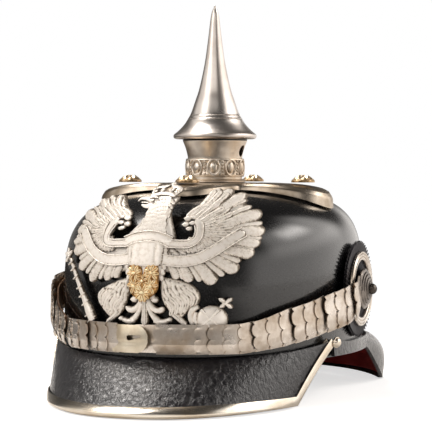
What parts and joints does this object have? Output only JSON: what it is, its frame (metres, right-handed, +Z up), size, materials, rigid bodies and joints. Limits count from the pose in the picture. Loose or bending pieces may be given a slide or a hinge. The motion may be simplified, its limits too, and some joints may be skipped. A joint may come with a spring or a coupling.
{
  "type": "spiked leather helmet",
  "caption": "Lacquered leather helmet with square front visor, neck guard, cross base, screw-in spike, eagle plate, side cockades and scaled chin straps",
  "frame": {"origin": "on the plane that the helmet rests on, below the axis of the spike, which is the middle of the bounding box in width and length", "axes": "+X is the wearer's left, -Y is the front where the visor points, +Z is up along the spike"},
  "size_m": [0.2098, 0.2999, 0.2404],
  "materials": {
    "lacquered_leather": "high gloss lacquer",
    "black_leather": "polished",
    "pleated_leather": "satin, pleated",
    "green_leather": "satin",
    "red_leather": "satin",
    "tan_leather": "natural, matt",
    "silk": "fine plain weave",
    "silver": "polished silver plate",
    "scale_silver": "polished silver plate, lightly tarnished",
    "frosted_silver": "frosted silver plate with polished edges",
    "dark_steel": "darkened, worn",
    "gilt": "gilt, frosted",
    "brass": "turned, dull"
  },
  "bodies": {
    "helmet": {"skull_shell": "lacquered_leather", "front_visor": "black_leather", "front_visor_lining": "green_leather", "front_visor_trim": "silver", "trim_knobs": "silver", "rear_visor": "black_leather", "rear_visor_lining": "red_leather", "rear_spine": "silver", "spine_pins": "silver", "cross_base": "silver", "base_star_studs": "gilt", "base_stud_nuts": "brass", "pearl_ring": "silver", "spike_neck": "silver", "thread_ring": "brass", "eagle_plate": "frosted_silver", "plate_posts": "brass", "breast_ornament": "gilt", "eagle_nuts": "brass", "cockade_disc_left": "pleated_leather", "cockade_disc_right": "pleated_leather", "cockade_ring_left": "silver", "cockade_ring_right": "silver", "cockade_screws": "dark_steel", "cockade_nuts": "brass", "sweatband": "tan_leather", "silk_liner": "silk"},
    "spike_carrier": {"spike_washer": "black_leather"},
    "spike": {"spike": "silver"},
    "strap_left_1": {"chin_boss_left": "dark_steel", "chin_scales_left_1": "scale_silver", "chin_leather_left_1": "tan_leather"},
    "strap_left_2": {"chin_scales_left_2": "scale_silver", "chin_leather_left_2": "tan_leather"},
    "strap_left_3": {"chin_scales_left_3": "scale_silver", "chin_leather_left_3": "tan_leather"},
    "strap_left_4": {"chin_scales_left_4": "scale_silver", "chin_leather_left_4": "tan_leather"},
    "strap_left_5": {"chin_scales_left_5": "scale_silver", "chin_leather_left_5": "tan_leather"},
    "strap_left_6": {"chin_scales_left_6": "scale_silver", "chin_leather_left_6": "tan_leather", "chin_tongue_left": "silver"},
    "strap_right_1": {"chin_boss_right": "dark_steel", "chin_scales_right_1": "scale_silver", "chin_leather_right_1": "tan_leather"},
    "strap_right_2": {"chin_scales_right_2": "scale_silver", "chin_leather_right_2": "tan_leather"},
    "strap_right_3": {"chin_scales_right_3": "scale_silver", "chin_leather_right_3": "tan_leather"},
    "strap_right_4": {"chin_scales_right_4": "scale_silver", "chin_leather_right_4": "tan_leather"},
    "strap_right_5": {"chin_scales_right_5": "scale_silver", "chin_leather_right_5": "tan_leather"},
    "strap_right_6": {"chin_scales_right_6": "scale_silver", "chin_leather_right_6": "tan_leather", "chin_end_plate_right": "silver"}
  },
  "joints": [
    {"name": "strap_left_swing", "type": "hinge", "parent": "helmet", "child": "strap_left_1", "pos_m": [0.091, 0.004, 0.065], "axis": [1, 0, 0], "range_deg": [0, 16]},
    {"name": "strap_left_fold_1", "type": "hinge", "parent": "strap_left_1", "child": "strap_left_2", "pos_m": [0.09882, -0.02363, 0.05892], "axis": [-0.0421, -0.2079, 0.9772], "range_deg": [0, 18.5]},
    {"name": "strap_left_fold_2", "type": "hinge", "parent": "strap_left_2", "child": "strap_left_3", "pos_m": [0.08899, -0.04931, 0.05326], "axis": [-0.0903, -0.1811, 0.9793], "range_deg": [0, 5]},
    {"name": "strap_left_fold_3", "type": "hinge", "parent": "strap_left_3", "child": "strap_left_4", "pos_m": [0.0767, -0.07215, 0.04816], "axis": [-0.102, -0.1549, 0.9826], "range_deg": [0, 12.7]},
    {"name": "strap_left_fold_4", "type": "hinge", "parent": "strap_left_4", "child": "strap_left_5", "pos_m": [0.05981, -0.09218, 0.04381], "axis": [-0.1039, -0.0961, 0.9899], "range_deg": [0, 14.3]},
    {"name": "strap_left_fold_5", "type": "hinge", "parent": "strap_left_5", "child": "strap_left_6", "pos_m": [0.03844, -0.10719, 0.0427], "axis": [0, 0, 1], "range_deg": [0, 15.3]},
    {"name": "strap_right_swing", "type": "hinge", "parent": "helmet", "child": "strap_right_1", "pos_m": [-0.091, 0.004, 0.065], "axis": [1, 0, 0], "range_deg": [0, 16]},
    {"name": "strap_right_fold_1", "type": "hinge", "parent": "strap_right_1", "child": "strap_right_2", "pos_m": [-0.09882, -0.02363, 0.05892], "axis": [-0.0421, 0.2079, -0.9772], "range_deg": [0, 18.5]},
    {"name": "strap_right_fold_2", "type": "hinge", "parent": "strap_right_2", "child": "strap_right_3", "pos_m": [-0.08899, -0.04931, 0.05326], "axis": [-0.0903, 0.1811, -0.9793], "range_deg": [0, 5]},
    {"name": "strap_right_fold_3", "type": "hinge", "parent": "strap_right_3", "child": "strap_right_4", "pos_m": [-0.0767, -0.07215, 0.04816], "axis": [-0.102, 0.1549, -0.9826], "range_deg": [0, 12.7]},
    {"name": "strap_right_fold_4", "type": "hinge", "parent": "strap_right_4", "child": "strap_right_5", "pos_m": [-0.05981, -0.09218, 0.04381], "axis": [-0.1039, 0.0961, -0.9899], "range_deg": [0, 14.3]},
    {"name": "strap_right_fold_5", "type": "hinge", "parent": "strap_right_5", "child": "strap_right_6", "pos_m": [-0.03844, -0.10719, 0.0427], "axis": [0, 0, -1], "range_deg": [0, 15.3]},
    {"name": "spike_lift", "type": "slide", "parent": "helmet", "child": "spike_carrier", "axis": [0, 0, 1], "range_m": [0, 0.0091]},
    {"name": "spike_turn", "type": "hinge", "parent": "spike_carrier", "child": "spike", "pos_m": [0, 0, 0.1575], "axis": [0, 0, 1], "range_deg": [0, 2160]}
  ],
  "couplings": [
    {"joint": "strap_left_fold_1", "follows": "strap_left_swing", "ratio": 1.15},
    {"joint": "strap_left_fold_2", "follows": "strap_left_swing", "ratio": 0.31},
    {"joint": "strap_left_fold_3", "follows": "strap_left_swing", "ratio": 0.79},
    {"joint": "strap_left_fold_4", "follows": "strap_left_swing", "ratio": 0.89},
    {"joint": "strap_left_fold_5", "follows": "strap_left_swing", "ratio": 0.95},
    {"joint": "strap_right_swing", "follows": "strap_left_swing", "ratio": 1},
    {"joint": "strap_right_fold_1", "follows": "strap_left_swing", "ratio": 1.15},
    {"joint": "strap_right_fold_2", "follows": "strap_left_swing", "ratio": 0.31},
    {"joint": "strap_right_fold_3", "follows": "strap_left_swing", "ratio": 0.79},
    {"joint": "strap_right_fold_4", "follows": "strap_left_swing", "ratio": 0.89},
    {"joint": "strap_right_fold_5", "follows": "strap_left_swing", "ratio": 0.95},
    {"joint": "spike_lift", "follows": "spike_turn", "m_per_rad": 0.00023873}
  ]
}
